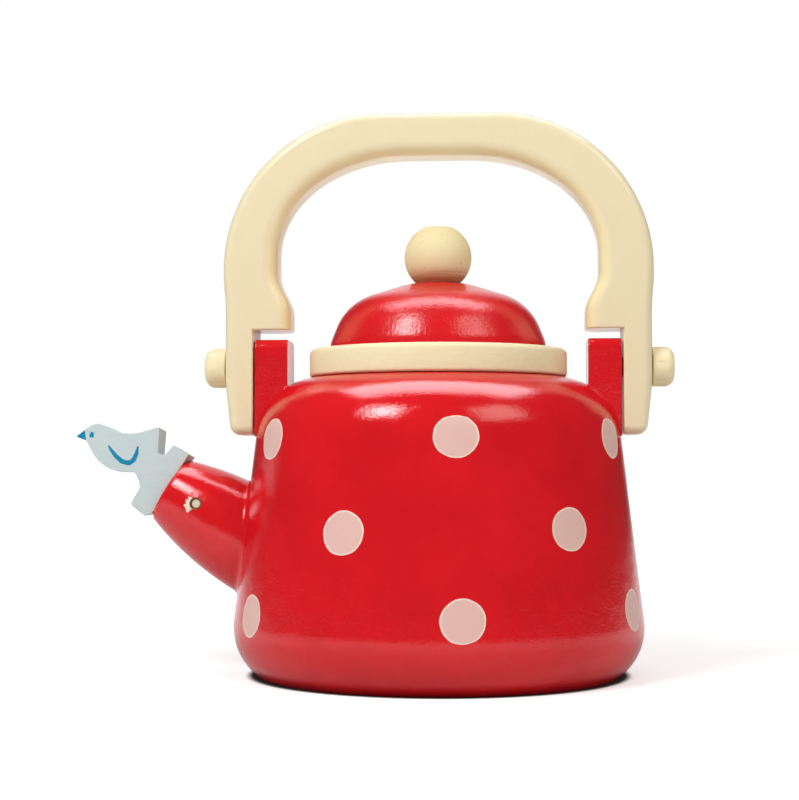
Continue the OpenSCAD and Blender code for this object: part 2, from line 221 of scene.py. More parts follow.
class KettleSizes(bpy.types.PropertyGroup):
    """Sizes of the turned, sawn and painted pieces"""

    foot_radius: length("Foot radius", "Radius of the foot that stands on the table", 55.6)
    side_low_radius: length("Side low radius", "Radius at which the side would reach the table", 64.95)
    side_top_radius: length("Side top radius", "Radius at which the side would reach the top", 54.1)
    belly_round: length("Belly rounding", "Rounding of the belly above the foot", 18)
    shoulder_round: length("Shoulder rounding", "Rounding of the shoulder below the lid", 20)
    mouth_radius: length("Mouth radius", "Radius of the mouth and of the hollow", 34)
    floor_thickness: length("Floor thickness", "Thickness of the floor of the hollow", 12)
    hollow_round: length("Hollow rounding", "Rounding at the floor of the hollow", 4)
    body_edge: length("Body edge", "Softening of the edges of foot and mouth", 0.8)
    dot_radius: length("Dot radius", "Radius of a painted dot", 6.6)
    dot_squash: fraction("Dot squash", "Height of a dot as a share of its width", 0.955)
    dot_rim: length("Dot rim", "Width of the paler rim of a dot", 1.1)
    paint_height: length("Paint height", "Height of a painted mark above its ground", 0.05)
    spout_reach: length("Spout reach", "Distance of the middle of the mouth from the kettle's axis", 83.8)
    spout_height: length("Spout height", "Height of the middle of the mouth", 56.9)
    spout_slope: angle("Spout slope", "Slope of the spout below level", 32)
    spout_mouth: length("Spout mouth", "Radius of the spout at its mouth", 10.5)
    spout_root: length("Spout root", "Radius of the spout at its widest", 16)
    spout_swell: length("Spout swell", "Length from the mouth to the widest place", 31.8)
    spout_length: length("Spout length", "Length of the turning before it is coped to the body", 40)
    spout_rim: length("Spout rim", "Rounding of the rim of the mouth", 1.2)
    spout_fillet: length("Spout fillet", "Reach of the fillet of paint between spout and body", 2.2)
    pin_stand: length("Pin stand", "Height by which the pin stands up in its hole", 0.4)
    pin_hole: length("Pin hole", "Radius of the sunk hole over the end of the pin", 1.9)
    bird_edge: length("Bird edge", "Softening of the sawn edges of the bird", 0.35)
    bird_slant: length("Bird slant", "Fall of the bird's back from front to rear, where the saw leaned", 0.9)
    ear_round: length("Ear rounding", "Rounding of the upper corners of an ear", 3.2)
    ear_edge: length("Ear edge", "Softening of the edges of an ear", 0.5)
    ear_bead: length("Ear bead", "Radius of the bead of paint round the foot of an ear", 0.55)
    glue_gap: length("Glue gap", "Room for glue round a piece that is let in", 0.05)
    shank_radius: length("Peg shank", "Radius of the shank that the handle swings on", 3)
    shank_reach: length("Peg shank reach", "Length of the shank in the ear and the leg", 18.1)
    peg_round: length("Peg rounding", "Rounding of the head of a peg", 3)
    peg_edge: length("Peg edge", "Softening of the head's edge beside the leg", 0.5)
    run_gap: length("Running gap", "Room round a shank for the leg to swing", 0.08)
    leg_gap: length("Leg gap", "Room between an ear and its leg", 0.5)
    leg_thickness: length("Leg thickness", "Thickness of a leg beside its ear", 8.8)
    leg_taper: length("Leg taper", "Taper of a leg towards its foot", 1.7)
    leg_taper_height: length("Leg taper height", "Height above the foot at which the taper begins", 16)
    toe_reach: length("Toe reach", "Length by which a toe reaches in past its ear", 0.6)
    toe_rise: length("Toe rise", "Height of the toes above the pivot", 11.4)
    toe_high: length("Toe high", "Height above the pivot up to which the toes keep their width", 16.5)
    bend_low: length("Bend low", "Height above the pivot at which the legs run into the bend", 29)
    bend_thickness: length("Bend thickness", "Thickness of the handle at the foot of the bend", 16.6)
    bend_outer: length("Outer bend", "Radius of the outer bend", 48)
    bend_inner_height: length("Inner bend height", "Height of the inner bend", 30)
    bend_inner_width: length("Inner bend width", "Width of the inner bend towards the grip", 40)
    grip_thickness: length("Grip thickness", "Thickness of the grip", 12.9)
    handle_edge: length("Handle edge", "Rounding of the outer edges of the handle", 3)
    handle_inner_edge: length("Handle inner edge", "Rounding of the inner edges of the handle", 4.8)
    notch_edge: length("Notch edge", "Softening of the edges of the lap cut for the ears", 0.6)
    flange_round: length("Flange rounding", "Rounding of the upper edge of the lid's flange", 1.7)
    flange_under: length("Flange underside", "Rounding of the lower edge of the lid's flange", 1)
    dome_lip: length("Dome lip", "Height of the upright lip at the foot of the dome", 2)
    dome_lip_round: length("Dome lip rounding", "Rounding between the lip and the flank of the dome", 8)
    dome_turn_radius: length("Dome turn radius", "Radius at which flank and crown would meet", 28.4)
    dome_turn_height: length("Dome turn height", "Height at which flank and crown would meet", 14.4)
    dome_crown: length("Dome crown", "Radius at which the crown turns level", 9.3)
    dome_round: length("Dome rounding", "Rounding between flank and crown", 17)
    knob_seat: length("Knob seat", "Height of the ball's middle above the dome", 8.2)
    knob_dowel: length("Knob dowel", "Radius of the dowel that shows in the top of the knob", 2.9)


class KettleColours(bpy.types.PropertyGroup):
    """Colours of paint, wood and metal"""

    red: colour("Red", "Gloss red paint", (0.70, 0.010, 0.016))
    red_deep: colour("Deep red", "Red where the paint lies thick", (0.62, 0.006, 0.011))
    dot: colour("Dot", "Pale paint of the dots", (0.77, 0.49, 0.435))
    dot_rim: colour("Dot rim", "Paler rim where the dot's paint has drawn together", (0.86, 0.70, 0.60))
    cream: colour("Cream", "Paint of the handle", (0.83, 0.735, 0.49))
    cream_deep: colour("Deep cream", "Cream over the grain", (0.79, 0.665, 0.41))
    # Painted light: a brighter golden cream that stands in for warm light in the shade along the inside of
    # the handle
    cream_painted_light: colour("Cream inside", "Golden paint along the inside of the handle", (0.93, 0.85, 0.51))
    wood: colour("Wood", "Pale sanded wood", (0.90, 0.78, 0.50))
    wood_deep: colour("Deep wood", "Darker grain of the wood", (0.80, 0.62, 0.34))
    flange: colour("Flange", "Paler wood of the lid's flange", (0.88, 0.80, 0.53))
    knob: colour("Knob", "Yellower wood of the knob", (0.81, 0.71, 0.42))
    # Painted brown shade: at the foot of the knob, broken by the tool's real rings, and in the sunk holes
    # over the pin
    turned: colour("Turned", "Wood browned by the tool at the foot of the knob", (0.42, 0.20, 0.06))
    chip: colour("Chip", "Bare ground where the paint has chipped", (0.84, 0.70, 0.58))
    pore: colour("Pore", "Pores and specks in the wood", (0.36, 0.21, 0.09))
    bird: colour("Bird", "Pale paint of the bird", (0.56, 0.67, 0.67))
    bird_deep: colour("Deep bird", "Pale paint of the bird over the grain", (0.49, 0.61, 0.62))
    mark: colour("Mark", "Bright paint of beak, eye and wing", (0.006, 0.24, 0.40))
    steel: colour("Steel", "Cut end of the pin", (0.95, 0.86, 0.68))


class KettleStage(bpy.types.PropertyGroup):
    """Camera, lamps and floor"""

    camera_place: FloatVectorProperty(
        name="Camera place", description="Place of the camera", size=3, subtype="TRANSLATION", unit="LENGTH",
        default=(22.35 * MM, -541.2 * MM, 65.08 * MM))
    camera_turn: angle("Camera turn", "Turn of the camera about the upright", 3.636)
    camera_tilt: angle("Camera tilt", "Tilt of the camera above level", 2.0477)
    camera_roll: angle("Camera roll", "Roll of the camera about its own axis", -0.0442)
    focal_pixels: pixels("Focal length", "Focal length in pixels of the picture", 1746.2)
    picture_pixels: pixels("Picture", "Long side of the picture in pixels", 800)
    key_power: power("Key", "Power of the lamp at the left", 4.3)
    fill_power: power("Fill", "Power of the lamp at the right", 1.9)
    top_power: power("Top", "Power of the strip overhead that only gloss shows", 11.3)
    ambient: fraction("Ambient", "Strength of the light from all round", 0.5)
    front_dark: fraction("Front", "Strength of what gloss reflects from the camera's side", 0.05)
    floor_lift: fraction("Floor lift", "White that the floor adds near the kettle for the camera", 0.5)
    gloss_lift: fraction("Gloss lift", "Share of that white that gloss shows in front of the kettle", 0.5)
    # A ring of painted contact shadow on the floor under the belly
    shadow_ring_inner: length("Contact inner", "Radius within which the floor under the belly is dark", 57)
    shadow_ring_outer: length("Contact outer", "Radius beyond which the floor is pale", 60)


# Points and turns


def spread(start, end, steps):
    """Values from one to another in even steps."""
    return [start + (end - start) * k / steps for k in range(steps + 1)]


def clamp(value):
    """A value kept between 0 and 1."""
    return min(max(value, 0), 1)


def about(axis, turn):
    """A turn about an axis."""
    return Matrix.Rotation(turn, 4, axis)


def turn_point(point, turn):
    """A flat point turned about the origin."""
    cos, sin = math.cos(turn), math.sin(turn)
    return Vector((point.x * cos - point.y * sin, point.x * sin + point.y * cos))


def rounded(corners, closed=False, steps=CORNER_STEPS):
    """Points along a line of corners (across, up and, where it is rounded, its rounding)."""
    points = []
    count = len(corners)
    for i, corner in enumerate(corners):
        middle = Vector(corner[:2])
        if len(corner) < 3 or not (closed or 0 < i < count - 1):
            points.append(middle)
            continue
        before = (Vector(corners[i - 1][:2]) - middle).normalized()
        after = (Vector(corners[(i + 1) % count][:2]) - middle).normalized()
        half = before.angle(after) / 2
        centre = middle + (before + after).normalized() * corner[2] / math.sin(half)
        start = middle + before * corner[2] / math.tan(half) - centre
        end = middle + after * corner[2] / math.tan(half) - centre
        sweep = math.atan2(start.cross(end), start.dot(end))
        points += [centre + turn_point(start, turn) for turn in spread(0, sweep, steps)]
    return points


# Selecting and modelling


def leave_edit():
    """Back from edit mode."""
    bpy.ops.object.mode_set(mode="OBJECT")


def deselect():
    """Leaves edit mode and deselects everything."""
    if bpy.context.object and bpy.context.object.mode != "OBJECT":
        leave_edit()
    bpy.ops.object.select_all(action="DESELECT")


def activate(piece):
    """Selects one piece alone and makes it the active one."""
    deselect()
    piece.select_set(True)
    bpy.context.view_layer.objects.active = piece


def added(name, operator, **settings):
    """What an operator adds with everything else deselected, under a name."""
    deselect()
    operator(**settings)
    bpy.context.object.name = name
    return bpy.context.object


def edit(piece):
    """Opens a piece in edit mode with everything selected."""
    activate(piece)
    bpy.ops.object.mode_set(mode="EDIT")
    bpy.ops.mesh.select_mode(type="VERT")
    bpy.ops.mesh.select_all(action="SELECT")


def edit_only(piece, kind, test):
    """Opens a piece in edit mode with only the edges or faces selected that a test accepts."""
    edit(piece)
    bpy.ops.mesh.select_mode(type=kind)
    bpy.ops.mesh.select_all(action="DESELECT")
    leave_edit()
    for element in piece.data.edges if kind == "EDGE" else piece.data.polygons:
        element.select = bool(test(element))
    bpy.ops.object.mode_set(mode="EDIT")


def close_up(piece):
    """Merges doubles and turns the faces outwards."""
    edit(piece)
    bpy.ops.mesh.remove_doubles(threshold=MERGE)
    bpy.ops.mesh.normals_make_consistent(inside=False)
    leave_edit()


def modify(piece, kind, **settings):
    """Adds a modifier with these settings and applies it."""
    activate(piece)
    bpy.ops.object.modifier_add(type=kind)
    modifier = piece.modifiers[-1]
    for key, value in settings.items():
        setattr(modifier, key, value)
    bpy.ops.object.modifier_apply(modifier=modifier.name)


def smooth(piece, flat_faces=False):
    """Smooth shading with the sharp edges kept, and with flat faces kept flat where asked."""
    activate(piece)
    bpy.ops.object.shade_smooth_by_angle(angle=SMOOTH_ANGLE)
    if flat_faces:
        modify(piece, "WEIGHTED_NORMAL", keep_sharp=True)


def cut(piece, cutter):
    """Cuts a piece with a cutter, which is used up."""
    modify(piece, "BOOLEAN", operation="DIFFERENCE", solver="EXACT", object=cutter)
    bpy.data.objects.remove(cutter)


def place(piece, matrix):
    """Moves a piece and puts its place into its mesh."""
    activate(piece)
    piece.matrix_world = matrix
    bpy.ops.object.transform_apply(location=True, rotation=True, scale=True)


def copied(piece, name):
    """A copy of a piece with its own mesh."""
    activate(piece)
    bpy.ops.object.duplicate()
    copy = bpy.context.object
    copy.name = name
    return copy


def joined(pieces, name):
    """Several pieces as one."""
    activate(pieces[0])
    for piece in pieces:
        piece.select_set(True)
    bpy.ops.object.join()
    pieces[0].name = name
    return pieces[0]


def polyline(name, points, closed=False):
    """A line through points, made from a circle that is pulled to shape."""
    piece = added(name, bpy.ops.mesh.primitive_circle_add,
                  vertices=len(points), radius=MM, fill_type="NOTHING")
    for vertex, point in zip(piece.data.vertices, points):
        vertex.co = point
    if not closed:
        edit_only(piece, "EDGE", lambda edge: set(edge.vertices) == {0, len(points) - 1})
        bpy.ops.mesh.delete(type="EDGE")
        leave_edit()
    return piece


def turned(name, profile, facets=BODY_FACETS):
    """A piece turned on the lathe from a profile of radius and height that starts and ends on the axis."""
    piece = polyline(name, [(radius, 0, height) for radius, height in profile])
    edit(piece)
    bpy.ops.mesh.spin(steps=facets, angle=math.tau, center=(0, 0, 0), axis=(0, 0, 1))
    close_up(piece)
    smooth(piece)
    return piece


def sawn(name, outline, thickness, edge):
    """A board sawn to an outline of across and up, with softened edges, its thickness along Y."""
    half = thickness / 2 - edge
    piece = polyline(name, [(across, -half, up) for across, up in outline], closed=True)
    edit(piece)
    bpy.ops.mesh.edge_face_add()
    bpy.ops.mesh.extrude_region_move(TRANSFORM_OT_translate={"value": (0, 2 * half, 0)})
    close_up(piece)
    edit_only(piece, "FACE", lambda face: abs(face.normal.y) > FACING)
    middle = edge * math.sin(QUARTER / 2)
    bpy.ops.mesh.inset(thickness=edge - middle, depth=middle)
    bpy.ops.mesh.inset(thickness=middle, depth=edge - middle)
    leave_edit()
    smooth(piece, flat_faces=True)
    return piece


def skinned(name, rows):
    """A closed skin over rows of points, made from a grid that is pulled to shape, with its ends filled."""
    around = len(rows[0])
    piece = added(name, bpy.ops.mesh.primitive_grid_add,
                  x_subdivisions=around, y_subdivisions=len(rows) - 1, size=MM)
    for vertex in piece.data.vertices:
        row, station = divmod(vertex.index, around + 1)
        vertex.co = rows[row][station % around]
    edit(piece)
    bpy.ops.mesh.remove_doubles(threshold=MERGE)
    bpy.ops.mesh.select_all(action="SELECT")
    bpy.ops.mesh.fill_holes(sides=0)
    close_up(piece)
    return piece


def block(name, low, high):
    """A block between two corners."""
    piece = added(name, bpy.ops.mesh.primitive_cube_add, size=1)
    low, high = Vector(low), Vector(high)
    place(piece, Matrix.LocRotScale((low + high) / 2, None, high - low))
    return piece


def rod(name, radius, start, end):
    """A round rod between two points."""
    start, end = Vector(start), Vector(end)
    piece = added(name, bpy.ops.mesh.primitive_cylinder_add,
                  radius=radius, depth=(end - start).length, vertices=SMALL_FACETS)
    place(piece, Matrix.LocRotScale((start + end) / 2, (end - start).to_track_quat("Z", "Y"), None))
    return piece


def bead(name, points, radius):
    """A bead of paint along a line."""
    activate(polyline(name, points))
    bpy.ops.object.convert(target="CURVE")
    curve = bpy.context.object
    curve.data.bevel_depth = radius
    curve.data.bevel_resolution = BEAD_ROUND_STEPS
    curve.data.use_fill_caps = True
    bpy.ops.object.convert(target="MESH")
    close_up(curve)
    smooth(curve)
    return curve


def finish_piece(piece, body, slot, nodes, *materials):
    """Gives a piece its materials and its body, and hides the nodes that it stands for. The slot is not used.
    """
    for material in materials:
        piece.data.materials.append(material)
    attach(piece, body)
    if nodes:
        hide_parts(*nodes)


def coat_faces(piece, test):
    """Gives a piece's second material to the faces whose middle a test accepts."""
    for face in piece.data.polygons:
        if test(face.center):
            face.material_index = 1


# Shapes that more than one piece follows


def body_outside(sizes, grow=0.0):
    """Profile of the body from the foot to the flat under the lid."""
    taper = (sizes.side_low_radius - sizes.side_top_radius) / BODY_TOP
    belly = (sizes.side_low_radius - sizes.foot_radius) / (1 + taper)
    return rounded((
        (0, 0),
        (sizes.foot_radius + grow, 0, sizes.body_edge),
        (sizes.foot_radius + belly + grow, belly, sizes.belly_round),
        (sizes.side_top_radius + grow, BODY_TOP, sizes.shoulder_round),
        (sizes.mouth_radius, BODY_TOP)), steps=BODY_CORNER_STEPS)


def between(value, a, b):
    """Place of a value along a line between two points, by their first numbers."""
    share = (value - a[0]) / (b[0] - a[0])
    return a[1] + (b[1] - a[1]) * share


def body_radius(sizes, height):
    """Radius of the body's outside at a height."""
    points = [(z, r) for r, z in body_outside(sizes)]
    for a, b in zip(points, points[1:]):
        if a[0] < b[0] and a[0] <= height <= b[0]:
            return between(height, a, b)
    raise ValueError("The body has no such height")


def shoulder_height(sizes, radius):
    """Height of the shoulder at a radius."""
    points = [(r, z) for r, z in body_outside(sizes) if z > BODY_TOP / 2]
    for a, b in zip(points, points[1:]):
        if b[0] <= radius <= a[0] and b[0] < a[0]:
            return between(radius, a, b)
    return points[0][1]


def spout_frame(sizes):
    """Place of the spout: its Z runs from the mouth into the body."""
    return (Matrix.Translation((-sizes.spout_reach, 0, sizes.spout_height))
            @ about("Y", QUARTER + sizes.spout_slope))


def spout_radius(sizes, along):
    """Radius of the spout at a distance from its mouth: it swells along an arc."""
    rise = sizes.spout_root - sizes.spout_mouth
    bulge = (sizes.spout_swell ** 2 + rise ** 2) / (2 * rise)
    left = max(sizes.spout_swell - along, 0)
    return sizes.spout_root - bulge + math.sqrt(bulge ** 2 - left ** 2)


# Nodes


def feed(tree, node, values):
    """Sets or links inputs of a node."""
    for key, value in values.items():
        if isinstance(value, bpy.types.NodeSocket):
            tree.links.new(value, node.inputs[key])
        else:
            node.inputs[key].default_value = value


def add(tree, kind, values=None, **settings):
    """A node with its settings, and with its inputs set or linked."""
    node = tree.nodes.new(kind)
    for key, value in settings.items():
        setattr(node, key, value)
    feed(tree, node, values or {})
    return node


def maths(tree, operation, a, b=0.0):
    """The result of a sum on two values."""
    return add(tree, "ShaderNodeMath", {0: a, 1: b}, operation=operation).outputs[0]


def plus(tree, a, b):
    """Two values added."""
    return maths(tree, "ADD", a, b)


def times(tree, a, b):
    """Two values multiplied."""
    return maths(tree, "MULTIPLY", a, b)


def greater(tree, a, b):
    """The greater of two values."""
    return maths(tree, "MAXIMUM", a, b)


def step(tree, value, start, end, low=0.0, high=1.0):
    """A value taken smoothly from one range to another."""
    values = {"Value": value, "From Min": start, "From Max": end, "To Min": low, "To Max": high}
    return add(tree, "ShaderNodeMapRange", values, interpolation_type="SMOOTHSTEP").outputs[0]


def mix(tree, factor, a, b):
    """Two colours mixed by a factor, each from a socket or as red, green and blue."""
    a, b = (value if isinstance(value, bpy.types.NodeSocket) else (*value, 1) for value in (a, b))
    return add(tree, "ShaderNodeMix", {0: factor, 6: a, 7: b}, data_type="RGBA").outputs[2]


def noise(tree, vector, scale, detail=2.0, rough=0.5, distort=0.0):
    """Noise over the surface."""
    values = {"Vector": vector, "Scale": scale, "Detail": detail, "Roughness": rough, "Distortion": distort}
    return add(tree, "ShaderNodeTexNoise", values).outputs["Fac"]


def mapped(tree, vector, **values):
    """Coordinates that are moved, turned or scaled."""
    return add(tree, "ShaderNodeMapping", {"Vector": vector, **values}).outputs[0]


def parts_of(tree, vector):
    """A vector's X, Y and Z."""
    return add(tree, "ShaderNodeSeparateXYZ", {0: vector}).outputs


def vector_maths(tree, operation, *vectors):
    """The outputs of a sum on vectors."""
    return add(tree, "ShaderNodeVectorMath", dict(enumerate(vectors)), operation=operation).outputs


def stored(tree, name):
    """A value that is stored on the points of a mesh."""
    return add(tree, "ShaderNodeAttribute", attribute_name=name).outputs["Fac"]


def bump(tree, height, distance):
    """The normal of a surface with a height."""
    return add(tree, "ShaderNodeBump", {"Height": height, "Distance": distance}).outputs[0]


def shared(make):
    """Has a material or a node group made once under its name, and handed out again after that."""
    def get(name, *values, **settings):
        kept = bpy.data.materials.get(name) or bpy.data.node_groups.get(name)
        return kept or make(name, *values, **settings)
    return get


def group(name, inputs, outputs):
    """An empty node group with named inputs and outputs, what it is given and the node that puts out."""
    tree = bpy.data.node_groups.new(name, "ShaderNodeTree")
    tree.interface.new_socket("Vector", in_out="INPUT", socket_type="NodeSocketVector")
    for label, value in inputs.items():
        socket = tree.interface.new_socket(label, in_out="INPUT", socket_type="NodeSocketFloat")
        socket.default_value = value
    for label in outputs:
        tree.interface.new_socket(label, in_out="OUTPUT", socket_type="NodeSocketFloat")
    return tree, tree.nodes.new("NodeGroupInput").outputs, tree.nodes.new("NodeGroupOutput")


def use_group(tree, group_tree, vector, values):
    """A node group placed in a material, as its outputs."""
    return add(tree, "ShaderNodeGroup", {"Vector": vector, **values}, node_tree=group_tree).outputs


@shared
def brushed_paint_group(name):
    """Fine peel and slow waves of brushed paint: Height for a bump, Mottle for colour and gloss."""
    tree, given, made = group(
        name, {"Peel Scale": 1600, "Peel": 0.6, "Wave Scale": 160}, ("Height", "Mottle"))
    where = given["Vector"]
    peel = noise(tree, where, given["Peel Scale"], detail=1.5)
    wave = noise(tree, where, given["Wave Scale"], detail=1)
    patch = noise(tree, where, scale=45, detail=3)
    feed(tree, made, {
        "Height": plus(tree, times(tree, peel, given["Peel"]), wave),
        "Mottle": step(tree, patch, 0.32, 0.68)})
    return tree


@shared
def wood_grain_group(name):
    """Grain of wood along a vector that is stretched along the fibres: Streak, Pores and Height."""
    tree, given, made = group(name, {"Fibre Scale": 900, "Ring Scale": 110}, ("Streak", "Pores", "Height"))
    where = given["Vector"]
    fibre = noise(tree, where, given["Fibre Scale"], detail=3, rough=0.6)
    ring = noise(tree, where, given["Ring Scale"], distort=0.6)
    speck = noise(tree, where, times(tree, given["Fibre Scale"], 1.7), detail=1)
    streak = plus(tree, times(tree, fibre, 0.55), times(tree, ring, 0.45))
    pores = step(tree, speck, 0.68, 0.76)
    feed(tree, made, {
        "Streak": step(tree, streak, 0.36, 0.64), "Pores": pores,
        "Height": maths(tree, "SUBTRACT", fibre, pores)})
    return tree


# Materials


def surface(name):
    """A new material: its tree, its shader and its Object coordinates."""
    made = bpy.data.materials.new(name)
    made.use_nodes = True
    tree = made.node_tree
    return made, tree, tree.nodes["Principled BSDF"], add(tree, "ShaderNodeTexCoord").outputs["Object"]


def brushed(tree, where, **values):
    """Brushed paint in a material."""
    return use_group(tree, brushed_paint_group("Brushed paint"), where, values)


@shared
def gloss_red(name, chip=None, dull=0, peel=0.6):
    """Brushed gloss red, with bare ground where the paint has chipped at a place."""
    colours = bpy.context.scene.kettle_colours
    made, tree, shader, where = surface(name)
    paint = brushed(tree, where, Peel=peel)
    base = mix(tree, paint["Mottle"], colours.red_deep, colours.red)
    rough = step(tree, paint["Mottle"], 0, 1, dull + 0.15, dull + 0.1)
    if chip is not None:
        reach = [value * MM for value in CHIP_REACH]
        near = mapped(
            tree, where, Location=[-c / r for c, r in zip(chip, reach)], Scale=[1 / r for r in reach])
        away = vector_maths(tree, "LENGTH", near)["Value"]
        ragged = plus(tree, away, times(tree, noise(tree, where, scale=1300, detail=3), 2.2))
        bare = step(tree, ragged, 2.1, 1.95)
        base = mix(tree, bare, base, colours.chip)
        rough = plus(tree, rough, times(tree, bare, 0.4))
    feed(tree, shader, {
        "Base Color": base, "Roughness": rough, "Normal": bump(tree, paint["Height"], 0.1 * MM)})
    return made


@shared
def dot_paint(name):
    """Thin pale paint with a paler rim, a little fibrous."""
    colours = bpy.context.scene.kettle_colours
    made, tree, shader, where = surface(name)
    paint = brushed(tree, where, **{"Peel Scale": 1100})
    fibre = noise(tree, mapped(tree, where, Scale=(1, 1, 0.25)), scale=1500, detail=4, rough=0.7)
    ragged = plus(tree, stored(tree, "rim"), times(tree, maths(tree, "SUBTRACT", fibre, 0.5), 0.9))
    pale = greater(tree, step(tree, ragged, 0.35, 0.75), step(tree, fibre, 0.62, 0.74, 0, 0.45))
    height = plus(tree, paint["Height"], times(tree, fibre, 0.3))
    feed(tree, shader, {
        "Base Color": mix(tree, pale, colours.dot, colours.dot_rim),
        "Roughness": step(tree, fibre, 0.3, 0.7, 0.38, 0.5), "Normal": bump(tree, height, 0.05 * MM)})
    return made


@shared
def grain(name, pale, deep, fibres, contrast, pores=0.3, rough=0.5, height=0.03 * MM,
          scales=(900, 110), over=None, shine=None):
    """Wood, bare or under paint, with fibres along the axis that is scaled down and with a coat over it."""
    made, tree, shader, where = surface(name)
    fibre_scale, ring_scale = scales
    wood = use_group(tree, wood_grain_group("Wood grain"), mapped(tree, where, Scale=fibres), {
        "Fibre Scale": fibre_scale, "Ring Scale": ring_scale})
    base = mix(tree, times(tree, wood["Streak"], contrast), pale, deep)
    base = mix(tree, times(tree, wood["Pores"], pores), base, bpy.context.scene.kettle_colours.pore)
    if over:
        base = over(tree, where, base)
    feed(tree, shader, {
        "Base Color": base, "Roughness": step(tree, wood["Streak"], 0, 1, rough, rough + 0.1),
        "Normal": bump(tree, wood["Height"], height), "Specular IOR Level": 0.3, **(shine or {})})
    return made


def bare_wood(name, fibres):
    """Pale sanded wood with its fibres along an axis."""
    colours = bpy.context.scene.kettle_colours
    return grain(name, colours.wood, colours.wood_deep, fibres, contrast=0.45)


def flange_wood(name):
    """Paler wood of the flange and the plug."""
    colours = bpy.context.scene.kettle_colours
    return grain(name, colours.flange, colours.wood_deep, (0.1, 1, 1), contrast=0.3, pores=0.06)


def hole_shade_wood(name):
    """Bare wood in the sunk holes over the pin, darkened to brown as painted shade in the recess."""
    colours = bpy.context.scene.kettle_colours
    return grain(name, colours.turned, colours.pore, (1, 0.12, 1), contrast=0.8, pores=0.5, rough=0.7)


def knob_wood(name):
    """Wood of the knob, ringed by the tool towards its seat and darkened there by painted brown shade."""
    colours = bpy.context.scene.kettle_colours

    def foot_shade_and_rings(tree, where, base):
        rings = noise(tree, mapped(tree, where, Scale=(0.05, 0.05, 1)), scale=1600)
        start, end = (KNOB_LOW.z + height for height in KNOB_FOOT_SHADE)
        # Painted shade: darker towards the seat, with the tool's rings showing through it
        low = step(tree, parts_of(tree, where)["Z"], start, end, 0.9, 0)
        return mix(tree, times(tree, low, step(tree, rings, 0.3, 0.65, 0.55, 1)), base, colours.turned)

    return grain(
        name, colours.knob, colours.wood_deep, (1, 1, 0.14), contrast=0.3, height=0.02 * MM, over=foot_shade_and_rings,
        shine={"Specular IOR Level": 0.15})


def cream_paint(name):
    """Satin cream paint through which the grain shows a little, with painted golden light along the inside of
    the handle.
    """
    colours = bpy.context.scene.kettle_colours

    def painted_golden_light(tree, where, base):
        # Painted golden light on the faces that look into the arch
        return mix(tree, step(tree, stored(tree, "inside"), 0.1, 0.7), base, colours.cream_painted_light)

    return grain(
        name, colours.cream, colours.cream_deep, (0.6, 1, 0.12), contrast=0.16, pores=0.02, rough=0.4,
        height=0.01 * MM, scales=(700, 60), over=painted_golden_light,
        shine={"Specular IOR Level": 0.1, "Coat Weight": 0.5, "Coat Roughness": 0.09})


@shared
def bird_paint(name):
    """Thin pale paint on the bird, worn to the wood along its seat."""
    sizes, colours = bpy.context.scene.kettle_sizes, bpy.context.scene.kettle_colours
    made, tree, shader, where = surface(name)
    along = mapped(tree, where, Rotation=(0, sizes.spout_slope, 0), Scale=(0.15, 1, 1))
    wood = use_group(tree, wood_grain_group("Wood grain"), along, {"Fibre Scale": 700})
    base = mix(tree, times(tree, wood["Streak"], 0.4), colours.bird, colours.bird_deep)
    mouth = spout_frame(sizes)
    inward = mouth.to_3x3() @ Vector((0, 0, 1))
    reach = vector_maths(tree, "DOT_PRODUCT", where, inward)["Value"]
    seat = inward.dot(mouth.translation)
    ragged = plus(tree, reach, times(tree, noise(tree, where, scale=700, detail=3), 0.5 * MM))
    edge = BIRD_HIGH.y - sizes.bird_edge
    side = maths(tree, "ABSOLUTE", parts_of(tree, where)["Y"])
    bare = times(tree, step(tree, ragged, seat - 0.25 * MM, seat), step(tree, side, edge - NEAR, edge + NEAR))
    feed(tree, shader, {
        "Base Color": mix(tree, bare, base, colours.wood_deep),
        "Roughness": step(tree, wood["Streak"], 0, 1, 0.48, 0.58),
        "Normal": bump(tree, wood["Height"], 0.02 * MM)})
    return made


@shared
def mark_paint(name):
    """Bright brushed paint of the bird's marks."""
    made, tree, shader, where = surface(name)
    paint = brushed(tree, where, **{"Wave Scale": 500})
    mark = bpy.context.scene.kettle_colours.mark
    thin = [min(1, value * 1.1 + 0.01) for value in mark]
    streak = step(tree, noise(tree, where, scale=1200, detail=3), 0.35, 0.7)
    feed(tree, shader, {
        "Base Color": mix(tree, streak, mark, thin), "Specular IOR Level": 0.15,
        "Roughness": step(tree, paint["Mottle"], 0, 1, 0.35, 0.45),
        "Normal": bump(tree, paint["Height"], 0.03 * MM)})
    return made


@shared
def pin_steel(name):
    """Cut and tarnished end of the pin."""
    made, tree, shader, where = surface(name)
    steel = bpy.context.scene.kettle_colours.steel
    dull = [value * 0.75 for value in steel]
    scratch = noise(tree, where, scale=2500, detail=3)
    feed(tree, shader, {
        "Base Color": mix(tree, step(tree, scratch, 0.35, 0.65), steel, dull), "Metallic": 0.15,
        "Roughness": step(tree, scratch, 0.3, 0.7, 0.3, 0.5), "Normal": bump(tree, scratch, 0.02 * MM)})
    return made


# Operators


